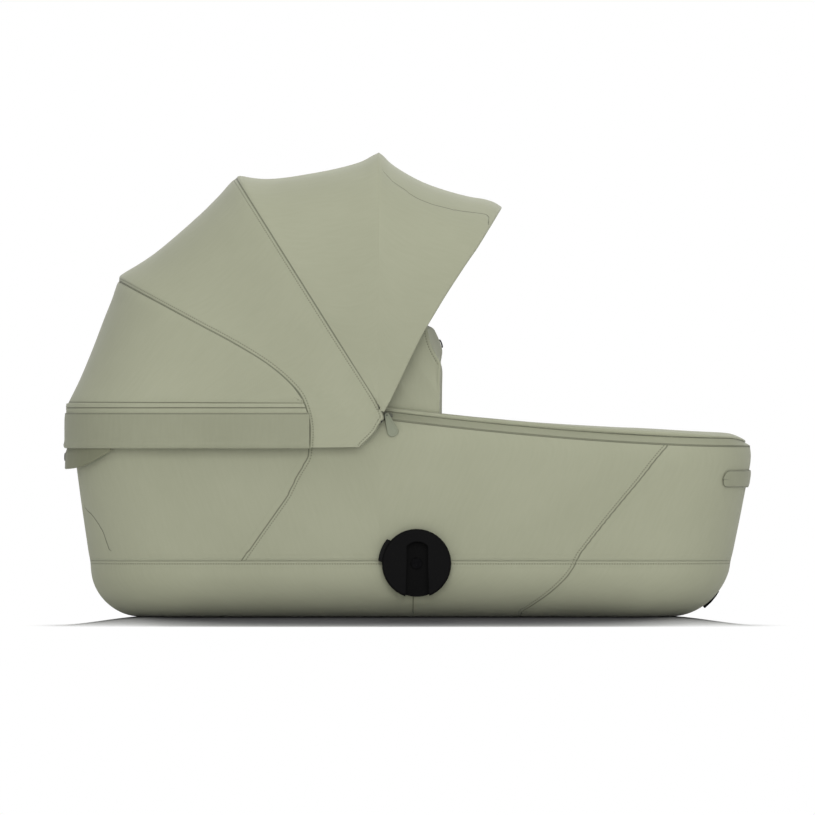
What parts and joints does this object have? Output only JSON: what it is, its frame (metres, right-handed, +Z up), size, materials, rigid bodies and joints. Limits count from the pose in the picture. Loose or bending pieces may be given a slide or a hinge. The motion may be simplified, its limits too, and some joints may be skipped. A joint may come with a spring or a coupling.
{
  "type": "carrycot",
  "caption": "Pram carrycot with a fabric covered tub, a folding bowed canopy, a zipped apron with a standing wind flap, and a round frame adapter on each side.",
  "frame": {"origin": "middle of the underside", "axes": "+X along the length towards the foot end, +Z up, -Y the near side in the picture"},
  "size_m": [0.799, 0.422, 0.541],
  "materials": {
    "sage_cloth": "sage woven polyester, matt",
    "sage_band": "sage woven polyester, a little darker",
    "liner_cloth": "quilted pale cotton",
    "mattress_cloth": "off-white knitted cotton over foam",
    "shell_plastic": "dark grey moulded polypropylene",
    "black_tag": "black woven tape",
    "bow_plastic": "dark grey glass-filled nylon strip",
    "rim_metal": "drawn tube",
    "sage_rubber": "sage soft moulding",
    "steel": "zinc plated",
    "black_plastic": "black satin moulding"
  },
  "bodies": {
    "tub": {"tub_shell": "shell_plastic", "rim_frame": "rim_metal", "cover_upper": "sage_cloth", "cover_lower": "sage_cloth", "liner": "liner_cloth", "mattress": "mattress_cloth", "apron": "sage_cloth", "zip_tape": "sage_band", "rear_bow": "bow_plastic", "canopy_rear_panel": "sage_cloth", "canopy_skirt": "sage_band", "canopy_zip_tape": "sage_cloth", "rear_flap": "sage_cloth", "rear_tag": "black_tag", "foot_strap": "sage_band", "toe_bumper": "black_plastic", "wind_flap_wing_left": "sage_cloth", "wind_flap_wing_right": "sage_cloth", "hinge_plate_left": "black_plastic", "hinge_pin_left": "steel", "hinge_rivet_lower_left": "steel", "hinge_rivet_upper_left": "steel", "adapter_plate_left": "black_plastic", "adapter_housing_left": "black_plastic", "adapter_screw_left": "steel", "adapter_nut_left": "steel", "button_spring_left": "steel", "hinge_plate_right": "black_plastic", "hinge_pin_right": "steel", "hinge_rivet_lower_right": "steel", "hinge_rivet_upper_right": "steel", "adapter_plate_right": "black_plastic", "adapter_housing_right": "black_plastic", "adapter_screw_right": "steel", "adapter_nut_right": "steel", "button_spring_right": "steel"},
    "mid_rear_bow": {"mid_rear_bow": "bow_plastic", "canopy_mid_panel": "sage_cloth"},
    "mid_front_bow": {"mid_front_bow": "bow_plastic", "canopy_top_panel": "sage_cloth"},
    "front_bow": {"front_bow": "bow_plastic", "canopy_front_panel": "sage_cloth"},
    "wind_flap": {"wind_flap": "sage_cloth", "flap_tag": "black_tag"},
    "zip_slider": {"zip_slider": "black_plastic"},
    "zip_pull": {"zip_pull": "sage_rubber"},
    "release_button_left": {"release_button_left": "black_plastic"},
    "release_button_right": {"release_button_right": "black_plastic"}
  },
  "joints": [
    {"name": "canopy_fold", "type": "hinge", "parent": "tub", "child": "mid_rear_bow", "pos_m": [-0.0335, 0, 0.23], "axis": [0, -1, 0], "range_deg": [0, 26.5], "deforming": ["canopy_mid_panel"]},
    {"name": "mid_front_bow_hinge", "type": "hinge", "parent": "mid_rear_bow", "child": "mid_front_bow", "pos_m": [-0.0335, 0, 0.23], "axis": [0, -1, 0], "range_deg": [0, 24.5], "deforming": ["canopy_top_panel"]},
    {"name": "front_bow_hinge", "type": "hinge", "parent": "mid_front_bow", "child": "front_bow", "pos_m": [-0.0335, 0, 0.23], "axis": [0, -1, 0], "range_deg": [0, 20], "deforming": ["canopy_front_panel"]},
    {"name": "wind_flap_fold", "type": "hinge", "parent": "tub", "child": "wind_flap", "pos_m": [0.0393, 0, 0.23833], "axis": [0, 1, 0], "range_deg": [0, 85], "deforming": ["wind_flap_wing_left", "wind_flap_wing_right"]},
    {"name": "zip_slider_run", "type": "slide", "parent": "tub", "child": "zip_slider", "axis": [0.9946, 0, -0.104], "range_m": [0, 0.2]},
    {"name": "zip_pull_swing", "type": "hinge", "parent": "zip_slider", "child": "zip_pull", "pos_m": [-0.02417, -0.19126, 0.23425], "axis": [0, -1, 0], "range_deg": [-8, 70]},
    {"name": "release_button_left_press", "type": "slide", "parent": "tub", "child": "release_button_left", "axis": [0.9272, 0, -0.3746], "range_m": [0, 0.004], "stiffness_N_per_m": 500, "springref_m": -0.004, "deforming": ["button_spring_left"]},
    {"name": "release_button_right_press", "type": "slide", "parent": "tub", "child": "release_button_right", "axis": [0.9272, 0, -0.3746], "range_m": [0, 0.004], "stiffness_N_per_m": 500, "springref_m": -0.004, "deforming": ["button_spring_right"]}
  ],
  "couplings": [
    {"joint": "mid_front_bow_hinge", "follows": "canopy_fold", "ratio": 0.92453},
    {"joint": "front_bow_hinge", "follows": "canopy_fold", "ratio": 0.75472}
  ]
}
